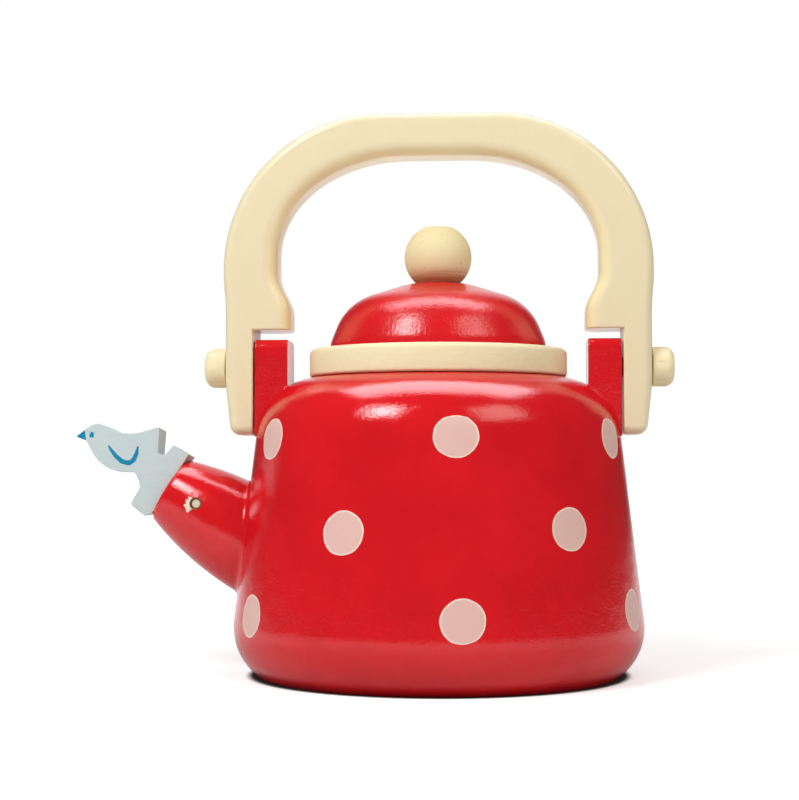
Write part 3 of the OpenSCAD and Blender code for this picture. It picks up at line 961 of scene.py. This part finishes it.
class KETTLE_OT_body(bpy.types.Operator):
    """Turns the body, hollows it and cuts the ledges that the ears are let into"""

    bl_idname = "kettle.body"
    bl_label = "Body"

    def execute(self, context):
        sizes = context.scene.kettle_sizes
        mouth, floor, gap = sizes.mouth_radius, sizes.floor_thickness, sizes.glue_gap
        inside = rounded((
            (mouth + MOUTH_FLAT, BODY_TOP), (mouth, BODY_TOP, sizes.body_edge),
            (mouth, floor, sizes.hollow_round), (0, floor)))
        piece = turned("kettle_body", body_outside(sizes)[:-1] + inside)
        for side in (-1, 1):
            left, right = sorted((side * (EAR_LOW.x - gap), side * sizes.side_low_radius))
            cut(piece, block("ear_ledge", (left, EAR_LOW.y - gap, EAR_LOW.z - gap),
                             (right, EAR_HIGH.y + gap, BODY_TOP + PAST)))
        close_up(piece)
        smooth(piece)
        finish_piece(piece, "kettle", "red_paint", ["body"], gloss_red("gloss_red"),
                     bare_wood("hollow_wood", (1, 1, 0.12)))
        coat_faces(piece, lambda centre: centre.xy.length < mouth + NEAR and centre.z > floor - NEAR)
        return {"FINISHED"}


class KETTLE_OT_dots(bpy.types.Operator):
    """Paints the rows of dots, each a thin skin of paint drawn onto the body"""

    bl_idname = "kettle.dots"
    bl_label = "Dots"

    def execute(self, context):
        sizes = context.scene.kettle_sizes
        pattern = added("dot", bpy.ops.mesh.primitive_circle_add,
                        vertices=SMALL_FACETS, radius=sizes.dot_radius, fill_type="NGON")
        edit(pattern)
        for share in DOT_RINGS:
            bpy.ops.mesh.inset(thickness=sizes.dot_rim * share)
        bpy.ops.mesh.poke()
        leave_edit()
        taper = math.atan2(sizes.side_low_radius - sizes.side_top_radius, BODY_TOP)
        dots = []
        for degrees, height in DOTS:
            dot = copied(pattern, "dot")
            self.shape_edge(sizes, dot, DOT_PHASE * len(dots))
            level = height * MM
            out = body_radius(sizes, level) + DOT_STAND
            place(dot, about("Z", math.radians(degrees)) @ Matrix.Translation((0, -out, level))
                  @ about("X", QUARTER - taper))
            dots.append(dot)
        bpy.data.objects.remove(pattern)
        piece = joined(dots, "kettle_dots")
        modify(piece, "SHRINKWRAP", target=bpy.data.objects["kettle_body"], offset=sizes.paint_height,
               wrap_method="NEAREST_SURFACEPOINT", wrap_mode="ABOVE_SURFACE")
        modify(piece, "SOLIDIFY", thickness=DOT_DEPTH * sizes.paint_height, offset=-1)
        smooth(piece)
        finish_piece(piece, "kettle", "cream_paint", [], dot_paint("dot_paint"))
        return {"FINISHED"}

    def shape_edge(self, sizes, dot, phase):
        """Stores on each point how far it lies in the rim, and makes the dot uneven and a little flat."""
        radius = sizes.dot_radius
        rims = dot.data.attributes.new("rim", "FLOAT", "POINT")
        for vertex, item in zip(dot.data.vertices, rims.data):
            reach = vertex.co.xy.length
            item.value = max(0.0, 1 - (radius - reach) / sizes.dot_rim)
            way = math.atan2(vertex.co.y, vertex.co.x)
            uneven = sum(share * math.sin(count * way + phases * phase) for share, count, phases in DOT_WAVES)
            vertex.co *= 1 + uneven * reach / radius
            vertex.co.y *= sizes.dot_squash


class KETTLE_OT_spout(bpy.types.Operator):
    """Turns the spout, copes it to the body, sinks the holes over the pin and runs the fillet of paint"""

    bl_idname = "kettle.spout"
    bl_label = "Spout"

    def execute(self, context):
        sizes = context.scene.kettle_sizes
        frame_of_spout = spout_frame(sizes)
        rim, root, reach = sizes.spout_rim, sizes.spout_root, sizes.spout_length
        profile = [(0, 0)]
        for turn in spread(0, QUARTER, RIM_STEPS):
            along = rim * (1 - math.cos(turn))
            profile.append((spout_radius(sizes, along) - rim * (1 - math.sin(turn)), along))
        for along in spread(rim, sizes.spout_swell, SWELL_STEPS)[1:]:
            profile.append((spout_radius(sizes, along), along))
        piece = turned("kettle_spout", profile + [(root, reach), (0, reach)], SPOUT_FACETS)
        place(piece, frame_of_spout)
        cut(piece, turned("coping", body_outside(sizes, sizes.glue_gap) + [Vector((0, BODY_TOP))]))
        pin = (PIN_LOW + PIN_HIGH) / 2
        for end, out in ((PIN_LOW.y, -1), (PIN_HIGH.y, 1)):
            bottom, mouth = end - out * sizes.pin_stand, end + out * root
            cut(piece, rod("pin_hole", sizes.pin_hole, (pin.x, bottom, pin.z), (pin.x, mouth, pin.z)))
        close_up(piece)
        smooth(piece)
        chip = Vector((pin.x, PIN_LOW.y, pin.z)) + Vector(CHIP_PLACE) * MM
        finish_piece(piece, "kettle", "red_paint", ["spout"], gloss_red("spout_red", chip),
                     hole_shade_wood("hole_shade_wood"))
        # The walls and floor of the holes take bare wood darkened as painted shade
        coat_faces(piece, lambda centre: math.hypot(centre.x - pin.x, centre.z - pin.z) < sizes.pin_hole
                   and abs(centre.y) < PIN_HIGH.y + HOLE_BARE)

        turns = spread(0, math.tau, FILLET_FACETS)[:-1]
        rows = [self.fillet_row(sizes, frame_of_spout, turn) for turn in turns]
        fillet = skinned("spout_fillet", rows + rows[:1])
        smooth(fillet)
        finish_piece(fillet, "kettle", "red_paint", [], gloss_red("gloss_red"))
        return {"FINISHED"}

    def fillet_row(self, sizes, frame_of_spout, turn):
        """Points across the fillet: hollow from the spout to the body, and closed inside the wood."""
        def on_spout(along):
            radius = spout_radius(sizes, along)
            return frame_of_spout @ Vector((radius * math.cos(turn), radius * math.sin(turn), along))

        low, high = 0.0, sizes.spout_length
        for _ in range(FILLET_HALVINGS):
            along = (low + high) / 2
            point = on_spout(along)
            if point.xy.length > body_radius(sizes, point.z):
                low = along
            else:
                high = along
        start = on_spout(along - sizes.spout_fillet)
        inward = (point - start).normalized()
        outward = frame_of_spout.to_3x3() @ Vector((math.cos(turn), math.sin(turn), 0))
        end = point + outward * sizes.spout_fillet
        end.xy = end.xy.normalized() * body_radius(sizes, end.z)
        curve = [start * (1 - share) ** 2 + point * 2 * share * (1 - share) + end * share ** 2
                 for share in spread(0, 1, FILLET_STEPS)]
        inside = point - outward * FILLET_ROOT + inward * FILLET_ROOT
        return [start - outward * FILLET_TUCK, *curve, end + inward * FILLET_TUCK, inside]


class KETTLE_OT_bird(bpy.types.Operator):
    """Saws the bird whistle from a board and paints its beak, eyes and wings"""

    bl_idname = "kettle.bird"
    bl_label = "Bird whistle"

    def execute(self, context):
        sizes = context.scene.kettle_sizes
        mouth = Vector((-sizes.spout_reach, 0, sizes.spout_height))
        slope = sizes.spout_slope
        seat = [(math.sin(slope) * along, math.cos(slope) * along) for along in BIRD_SEAT]
        outline = [point * MM for point in rounded([*seat, *BIRD_CORNERS], closed=True)]
        thickness = BIRD_HIGH.y - BIRD_LOW.y
        piece = sawn("bird_whistle_board", outline, thickness, sizes.bird_edge)
        up = Vector((math.sin(slope), 0, math.cos(slope)))
        for vertex in piece.data.vertices:
            share = clamp((vertex.co.dot(up) - SLANT_FROM) / SLANT_OVER)
            vertex.co.z -= sizes.bird_slant * share * (vertex.co.y / thickness + 0.5)
        place(piece, Matrix.Translation(mouth))
        start, end = (mouth + Vector((across, 0, up)) * MM for across, up in BEAK_LINE)
        normal = (end - start).cross(Vector((0, 1, 0))).normalized()
        edit(piece)
        bpy.ops.mesh.bisect(plane_co=start, plane_no=normal)
        leave_edit()
        smooth(piece, flat_faces=True)
        finish_piece(piece, "kettle", "blue_paint", ["bird_whistle"], bird_paint("bird_paint"),
                     mark_paint("mark_paint"))
        coat_faces(piece, lambda centre: (centre - start).dot(normal) < 0)

        side_y = thickness / 2 - sizes.paint_height
        marks = []
        for outline in (self.wing_outline(), EYE_OUTLINE):
            shape = [point * MM for point in rounded(outline, closed=True, steps=MARK_CORNER_STEPS)]
            for y in (-side_y, side_y):
                mark = sawn("mark", shape, MARK_DEPTH * sizes.paint_height, sizes.paint_height)
                place(mark, Matrix.Translation(mouth + Vector((0, y, 0))))
                marks.append(mark)
        paint = joined(marks, "bird_marks")
        finish_piece(paint, "kettle", "blue_paint", [], mark_paint("mark_paint"))
        return {"FINISHED"}

    def wing_outline(self):
        """Corners round the brush stroke of a wing, in mm."""
        points = [Vector(mark[:2]) for mark in WING_STROKE]
        last = len(points) - 1
        left, right = [], []
        for k, (across, up, half) in enumerate(WING_STROKE):
            way = (points[min(k + 1, last)] - points[max(k - 1, 0)]).normalized()
            rounding = STROKE_ROUND if 0 < k < last else STROKE_END_ROUND
            left.append((across - way.y * half, up + way.x * half, rounding))
            right.append((across + way.y * half, up - way.x * half, rounding))
        return left + right[::-1]


class KETTLE_OT_ears(bpy.types.Operator):
    """Saws the two ears that carry the handle and runs a bead of paint round the foot of each"""

    bl_idname = "kettle.ears"
    bl_label = "Ears"

    def execute(self, context):
        sizes = context.scene.kettle_sizes
        half, foot, top = EAR_HIGH.y, EAR_LOW.z, EAR_HIGH.z
        outline = rounded((
            (-half, foot, EAR_FOOT_ROUND), (half, foot, EAR_FOOT_ROUND),
            (half, top, sizes.ear_round), (-half, top, sizes.ear_round)), closed=True)
        ear = sawn("ear", outline, EAR_HIGH.x - EAR_LOW.x, sizes.ear_edge)
        middle = (EAR_LOW.x + EAR_HIGH.x) / 2
        inner, outer = EAR_LOW.x, EAR_HIGH.x - EAR_BEAD_SHORT * sizes.ear_bead
        way = [(x, -half) for x in spread(outer, inner, BEAD_STEPS)[:-1]]
        way += [(inner, y) for y in spread(-half, half, BEAD_STEPS)[:-1]]
        way += [(x, half) for x in spread(inner, outer, BEAD_STEPS)]
        line = [(x, y, shoulder_height(sizes, math.hypot(x, y))) for x, y in way]
        for name, turn in (("right_ear", 0), ("left_ear", math.pi)):
            piece = copied(ear, name + "_block")
            place(piece, about("Z", turn) @ Matrix.Translation((middle, 0, 0)) @ about("Z", QUARTER))
            finish_piece(piece, "kettle", "red_paint", [name], gloss_red("gloss_red"))
            seam = bead(name + "_bead", line, sizes.ear_bead)
            place(seam, about("Z", turn))
            finish_piece(seam, "kettle", "red_paint", [], gloss_red("gloss_red"))
        bpy.data.objects.remove(ear)
        return {"FINISHED"}


class KETTLE_OT_pegs(bpy.types.Operator):
    """Turns the two pegs that the handle swings on"""

    bl_idname = "kettle.pegs"
    bl_label = "Pegs"

    def execute(self, context):
        sizes = context.scene.kettle_sizes
        head, shank = PEG_HIGH.y, sizes.shank_radius
        seat, end = sizes.shank_reach, PEG_HIGH.x - PEG_LOW.x
        profile = rounded((
            (0, 0), (shank, 0), (shank, seat), (head, seat, sizes.peg_edge), (head, end, sizes.peg_round),
            (0, end)))
        peg = turned("peg", profile, SMALL_FACETS)
        for name, turn in (("right_peg", 0), ("left_peg", math.pi)):
            piece = copied(peg, name + "_turning")
            place(piece, about("Z", turn) @ Matrix.Translation((PEG_LOW.x, 0, PIVOT_Z)) @ about("Y", QUARTER))
            finish_piece(piece, "kettle", "bare_wood", [name], bare_wood("peg_wood", (0.1, 1, 1)))
        bpy.data.objects.remove(peg)
        return {"FINISHED"}


class KETTLE_OT_handle(bpy.types.Operator):
    """Shapes the bent handle, cuts the laps for the ears and bores the legs"""

    bl_idname = "kettle.handle"
    bl_label = "Handle"

    def execute(self, context):
        sizes = context.scene.kettle_sizes
        edge, half, foot = sizes.handle_edge, HANDLE_HIGH.y, HANDLE_LOW.z
        top, handle_out = HANDLE_HIGH.z, HANDLE_HIGH.x
        under = top - sizes.grip_thickness
        leg_in = EAR_HIGH.x + sizes.leg_gap
        leg_out = leg_in + sizes.leg_thickness
        toe_in, handle_in = EAR_LOW.x - sizes.toe_reach, handle_out - sizes.bend_thickness
        toe_z, toe_high = PIVOT_Z + sizes.toe_rise, PIVOT_Z + sizes.toe_high
        bend_low = PIVOT_Z + sizes.bend_low

        def side_station(height):
            share = clamp((height - toe_high) / (bend_low - toe_high))
            share = (1 - math.cos(math.pi * share)) / 2
            taper = sizes.leg_taper * max(0, 1 - (height - foot) / sizes.leg_taper_height)
            outer = leg_out + (handle_out - leg_out) * share - taper
            return Vector((outer, height)), Vector((toe_in + (handle_in - toe_in) * share, height))

        def bend_station(turn):
            way = Vector((math.cos(turn) - 1, math.sin(turn) - 1))
            inner = Vector((sizes.bend_inner_width * way.x, sizes.bend_inner_height * way.y))
            return Vector((handle_out, top)) + sizes.bend_outer * way, Vector((handle_in, under)) + inner

        rows = []
        for turn in spread(0, QUARTER, EDGE_STEPS):
            station = side_station(foot + edge * (1 - math.cos(turn)))
            rows.append(self.section(sizes, *station, edge * (1 - math.sin(turn))))
        heights = spread(foot + edge, toe_z, LEG_STEPS)[1:] + spread(toe_z, bend_low, SIDE_STEPS)[1:]
        rows += [self.section(sizes, *side_station(height)) for height in heights]
        rows += [self.section(sizes, *bend_station(turn)) for turn in spread(0, QUARTER, BEND_STEPS)]
        rows += [[(-x, y, z) for x, y, z in row] for row in rows[::-1]]
        piece = skinned("bent_handle", rows)
        cut(piece, block("lap", (-leg_in, -2 * half, foot - PAST), (leg_in, 2 * half, toe_z)))
        cut(piece, rod("bore", sizes.shank_radius + sizes.run_gap,
                       (-2 * leg_out, 0, PIVOT_Z), (2 * leg_out, 0, PIVOT_Z)))
        close_up(piece)
        self.soften_laps(sizes, piece, leg_in, toe_z)
        smooth(piece, flat_faces=True)
        self.mark_inside(piece, bend_low)
        finish_piece(piece, "handle", "cream_paint", ["handle"], cream_paint("handle_cream"))
        return {"FINISHED"}

    def section(self, sizes, outer, inner, inset=0):
        """Points round the handle at a station, with rounded corners and drawn in by an inset at the foot."""
        edge = sizes.handle_edge
        across = (outer - inner).normalized()
        wide = (outer - inner).length - inset
        deep = HANDLE_HIGH.y - inset
        row = []
        for k, (x, y) in enumerate(((wide, deep), (0, deep), (0, -deep), (wide, -deep))):
            corner = max(edge - inset, FOOT_EDGE_SHARE * edge) if x else sizes.handle_inner_edge
            x_in = x - corner if x else corner
            y_in = y - math.copysign(corner, y)
            for turn in spread(QUARTER * k, QUARTER * (k + 1), EDGE_STEPS):
                point = inner + across * (x_in + corner * math.cos(turn))
                row.append((point.x, y_in + corner * math.sin(turn), point.y))
        return row

    def mark_inside(self, piece, bend_low):
        """Stores on each point how far it faces the inside of the arch, for the painted golden light there.
        """
        inside = piece.data.attributes.new("inside", "FLOAT", "POINT")
        for point, value in zip(piece.data.vertices, inside.data):
            outward = Vector((point.co.x, 0, max(point.co.z - bend_low, 0))).normalized()
            value.value = max(-point.normal.dot(outward), 0)

    def soften_laps(self, sizes, piece, leg_in, toe_z):
        """Softens the outer edges of the laps, but not the corner inside them or the bore."""
        points = piece.data.vertices
        faces = {}
        for face in piece.data.polygons:
            on_lap = (abs(abs(face.center.x) - leg_in) < NEAR and abs(face.normal.x) > FACING) or (
                abs(face.center.z - toe_z) < NEAR and abs(face.normal.z) > FACING)
            for key in face.edge_keys:
                faces.setdefault(key, []).append(on_lap)

        def to_soften(edge):
            middle = (points[edge.vertices[0]].co + points[edge.vertices[1]].co) / 2
            in_bore = math.hypot(middle.y, middle.z - PIVOT_Z) < sizes.shank_radius + MM
            return sorted(faces[edge.key]) == [False, True] and not in_bore

        edit_only(piece, "EDGE", to_soften)
        bpy.ops.mesh.bevel(offset=sizes.notch_edge, segments=NOTCH_STEPS, affect="EDGES")
        leave_edit()


class KETTLE_OT_lid(bpy.types.Operator):
    """Turns the lid's flange, dome, plug and ball knob"""

    bl_idname = "kettle.lid"
    bl_label = "Lid"

    def execute(self, context):
        sizes = context.scene.kettle_sizes
        self.disc("lid_flange", FLANGE_LOW, FLANGE_HIGH, sizes.flange_under, sizes.flange_round)

        foot, seat, top = DOME_HIGH.x, DOME_LOW.z, DOME_HIGH.z
        dome = turned("lid_dome_turning", rounded((
            (0, seat), (foot, seat, DOME_FOOT_ROUND), (foot, seat + sizes.dome_lip, sizes.dome_lip_round),
            (sizes.dome_turn_radius, seat + sizes.dome_turn_height, sizes.dome_round),
            (sizes.dome_crown, top, sizes.dome_round), (0, top)), steps=DOME_CORNER_STEPS))
        finish_piece(dome, "lid", "red_paint", ["lid_dome"], gloss_red("dome_red", dull=0.08, peel=0.9))

        self.disc("lid_plug", PLUG_LOW, PLUG_HIGH, PLUG_UNDER, PLUG_OVER)

        radius, low, high = KNOB_HIGH.x, KNOB_LOW.z, KNOB_HIGH.z
        middle = low + sizes.knob_seat
        arc = spread(math.asin((low - middle) / radius), math.asin((high - middle) / radius), BALL_STEPS)
        ball = [(radius * math.cos(turn), middle + radius * math.sin(turn)) for turn in arc]
        dowel, wall, floor = sizes.knob_dowel, sizes.knob_dowel + KNOB_ROOM, high - KNOB_DEPTH
        socket = [(dowel + KNOB_GROOVE, high), (wall, high - KNOB_GROOVE), (wall, floor), (0, floor)]
        knob = turned("lid_knob_ball", [(0, low), *ball, *socket], KNOB_FACETS)
        finish_piece(knob, "lid", "bare_wood", ["lid_knob"], knob_wood("knob_wood"))
        return {"FINISHED"}

    def disc(self, node, low, high, under, over):
        """A flat disc of the lid with its edges rounded below and above."""
        piece = turned(node + "_disc", rounded((
            (0, low.z), (high.x, low.z, under), (high.x, high.z, over), (0, high.z))))
        finish_piece(piece, "lid", "bare_wood", [node], flange_wood("flange_wood"))


class KETTLE_OT_hidden(bpy.types.Operator):
    """Gives the dowels and the pin, whose solids stay, their wood and their metal"""

    bl_idname = "kettle.hidden"
    bl_label = "Dowels and pin"

    def execute(self, context):
        dowels = bare_wood("dowel_wood", (0.3, 1, 0.3))
        for name in ("spout_dowel", "left_ear_dowels", "right_ear_dowels", "bird_dowel", "lid_dowel"):
            self.coat(name, dowels)
        self.coat("lock_pin", pin_steel("pin_steel"))
        return {"FINISHED"}

    def coat(self, name, material):
        """Puts a material into every slot of a CAD node."""
        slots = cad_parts[name].material_slots
        if not slots:
            raise RuntimeError("No material slot on " + name)
        for slot in slots:
            slot.material = material


class KETTLE_OT_stage(bpy.types.Operator):
    """Lays the floor, hangs the lamps and sets up the camera"""

    bl_idname = "kettle.stage"
    bl_label = "Stage"

    def execute(self, context):
        scene, stage = context.scene, context.scene.kettle_stage
        self.floor(stage)
        self.world(scene, stage)
        self.lamp("key_lamp", stage.key_power, *KEY_LAMP)
        self.lamp("fill_lamp", stage.fill_power, *FILL_LAMP)
        top = self.lamp("top_lamp", stage.top_power, *TOP_LAMP)
        top.visible_diffuse = False
        camera = added("photo_camera", bpy.ops.object.camera_add)
        camera.data.sensor_width = SENSOR_WIDTH
        camera.data.lens = SENSOR_WIDTH * stage.focal_pixels / stage.picture_pixels
        camera.data.clip_start = CAMERA_NEAR
        camera.matrix_world = (
            Matrix.Translation(stage.camera_place) @ about("Z", stage.camera_turn)
            @ about("X", QUARTER + stage.camera_tilt) @ about("Z", stage.camera_roll))
        scene.camera = camera
        scene.view_settings.view_transform = "Standard"
        return {"FINISHED"}

    def background_rays(self, tree):
        """Masks of the rays that show the background (camera, gloss and glass) and of the camera's alone."""
        path = add(tree, "ShaderNodeLightPath").outputs
        shown = greater(tree, path["Is Camera Ray"], path["Is Glossy Ray"])
        return greater(tree, shown, path["Is Transmission Ray"]), path["Is Camera Ray"]

    def behind(self, tree, way):
        """One for directions that lead away behind the kettle and not to its sides."""
        part = parts_of(tree, way)
        narrow = step(tree, maths(tree, "ABSOLUTE", part["X"]), *BEHIND_ACROSS, 1, 0)
        return times(tree, narrow, step(tree, part["Y"], *BEHIND_BACK))

    def floor(self, stage):
        """A pale floor that is white to the camera but keeps the shadow, with a painted contact shadow under
        the belly.
        """
        floor = added("studio_floor", bpy.ops.mesh.primitive_plane_add, size=FLOOR_SIZE)
        made, tree, shader, where = surface("pale_floor")
        shown, camera_ray = self.background_rays(tree)
        away = vector_maths(tree, "LENGTH", where)["Value"]
        way = vector_maths(tree, "NORMALIZE", where)["Vector"]
        # Painted contact shadow: the floor is dark inside a ring under the belly
        past_shadow_ring = step(tree, away, stage.shadow_ring_inner, stage.shadow_ring_outer)
        lift = times(tree, past_shadow_ring, step(tree, away, *FLOOR_FADE, stage.floor_lift, 1))
        gloss = greater(tree, self.behind(tree, way), step(tree, away, *GLOSS_FADE, 0, stage.gloss_lift))
        white = times(tree, shown, greater(tree, gloss, camera_ray))
        feed(tree, shader, {
            "Base Color": mix(tree, past_shadow_ring, SHADOW_RING_GREY, FLOOR_GREY), "Roughness": 1, "Specular IOR Level": 0,
            "Emission Color": WHITE, "Emission Strength": times(tree, white, lift)})
        floor.data.materials.append(made)

    def world(self, scene, stage):
        """White behind and above, darker from the camera's side for gloss, and even for the rest."""
        world = bpy.data.worlds.new("studio")
        world.use_nodes = True
        scene.world = world
        tree = world.node_tree
        shown, camera_ray = self.background_rays(tree)
        behind = self.behind(tree, add(tree, "ShaderNodeTexCoord").outputs["Generated"])
        gloss = greater(tree, step(tree, behind, 0, 1, stage.front_dark, 1), camera_ray)
        light = add(tree, "ShaderNodeMix", {0: shown, 2: stage.ambient, 3: gloss}, data_type="FLOAT")
        feed(tree, tree.nodes["Background"], {"Strength": light.outputs[0], "Color": WHITE})

    def lamp(self, name, watts, way, size, tint):
        """A soft lamp that faces the kettle from a direction."""
        lamp = added(name, bpy.ops.object.light_add, type="AREA")
        lamp.data.shape = "RECTANGLE"
        lamp.data.size, lamp.data.size_y = size
        lamp.data.energy = watts
        lamp.data.color = tint
        way = Vector(way).normalized()
        lamp.matrix_world = Matrix.LocRotScale(
            KETTLE_MIDDLE + way * LAMP_DISTANCE, way.to_track_quat("Z", "Y"), None)
        return lamp


PIECES = (
    KETTLE_OT_body, KETTLE_OT_dots, KETTLE_OT_spout, KETTLE_OT_bird, KETTLE_OT_ears, KETTLE_OT_pegs,
    KETTLE_OT_handle, KETTLE_OT_lid, KETTLE_OT_hidden, KETTLE_OT_stage,
)


class KETTLE_PT_pieces(bpy.types.Panel):
    """Lists the pieces of the kettle in the order in which they are made"""

    bl_idname = "KETTLE_PT_pieces"
    bl_label = "Toy Kettle"
    bl_space_type = "VIEW_3D"
    bl_region_type = "UI"
    bl_category = "Kettle"

    def draw(self, context):
        for operator in PIECES:
            self.layout.operator(operator.bl_idname)
        for settings in (
                context.scene.kettle_sizes, context.scene.kettle_colours, context.scene.kettle_stage):
            column = self.layout.column()
            for name in settings.__annotations__:
                column.prop(settings, name)


CLASSES = (KettleSizes, KettleColours, KettleStage, *PIECES, KETTLE_PT_pieces)


def register():
    """Registers the classes and hangs the settings on the scene."""
    for made in CLASSES:
        bpy.utils.register_class(made)
    bpy.types.Scene.kettle_sizes = PointerProperty(type=KettleSizes)
    bpy.types.Scene.kettle_colours = PointerProperty(type=KettleColours)
    bpy.types.Scene.kettle_stage = PointerProperty(type=KettleStage)


def unregister():
    """Takes the settings off the scene and unregisters the classes."""
    del bpy.types.Scene.kettle_stage, bpy.types.Scene.kettle_colours, bpy.types.Scene.kettle_sizes
    for made in reversed(CLASSES):
        bpy.utils.unregister_class(made)


def main():
    """Makes every piece and the stage."""
    register()
    bpy.ops.kettle.body()
    bpy.ops.kettle.dots()
    bpy.ops.kettle.spout()
    bpy.ops.kettle.bird()
    bpy.ops.kettle.ears()
    bpy.ops.kettle.pegs()
    bpy.ops.kettle.handle()
    bpy.ops.kettle.lid()
    bpy.ops.kettle.hidden()
    bpy.ops.kettle.stage()


if __name__ == "__main__":
    main()
